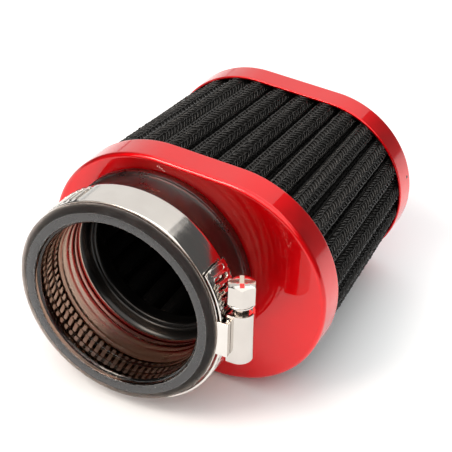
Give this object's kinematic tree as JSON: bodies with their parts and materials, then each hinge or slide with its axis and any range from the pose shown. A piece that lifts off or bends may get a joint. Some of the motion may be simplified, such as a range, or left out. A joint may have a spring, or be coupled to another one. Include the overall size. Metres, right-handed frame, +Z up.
{
  "type": "oval clamp-on air filter",
  "caption": "Oval clamp-on motorcycle air filter: pleated black mesh between red metal caps, offset rubber neck and a worm-drive hose clamp.",
  "frame": {"origin": "centre of the rubber neck's mouth", "axes": "+Y along the neck's axis from the mouth to the end cap, +X the oval's long direction towards the clamp screw, +Z up when the filter lies on its flat long side"},
  "size_m": [0.0846, 0.0972, 0.0636],
  "materials": {
    "neck_rubber": "smooth glossy black",
    "red_anodised": "polished, candy red",
    "black_mesh": "knitted black mesh",
    "screen_wire": "black coated wire mesh",
    "cotton_gauze": "open cotton weave",
    "potting": "cast black polyurethane",
    "clip_steel": "plain",
    "clamp_steel": "polished stainless steel"
  },
  "bodies": {
    "filter": {"neck_boot": "neck_rubber", "base_cap": "red_anodised", "end_cap": "red_anodised", "mesh_cover": "black_mesh", "outer_wire_screen": "screen_wire", "gauze_ply_1": "cotton_gauze", "gauze_ply_2": "cotton_gauze", "gauze_ply_3": "cotton_gauze", "gauze_ply_4": "cotton_gauze", "inner_wire_screen": "screen_wire", "base_potting": "potting", "end_potting": "potting", "seam_clip": "clip_steel"},
    "clamp": {"clamp_band": "clamp_steel", "clamp_saddle": "clamp_steel", "clamp_housing": "clamp_steel"},
    "screw": {"clamp_screw": "clamp_steel"},
    "strip_end": {"band_tail": "clamp_steel"}
  },
  "joints": [
    {"name": "clamp_swivel", "type": "hinge", "parent": "filter", "child": "clamp", "pos_m": [0, 0.0072, 0], "axis": [0, -1, 0], "continuous": true},
    {"name": "screw_turn", "type": "hinge", "parent": "clamp", "child": "screw", "pos_m": [0.03384, 0.0072, 0.00207], "axis": [0.061, 0, -0.9981], "range_deg": [-1800, 720]},
    {"name": "strip_feed", "type": "hinge", "parent": "clamp", "child": "strip_end", "pos_m": [0, 0.0072, 0], "axis": [0, -1, 0], "range_deg": [-22.4, 9]}
  ],
  "couplings": [
    {"joint": "strip_feed", "follows": "screw_turn", "ratio": 0.012362}
  ]
}
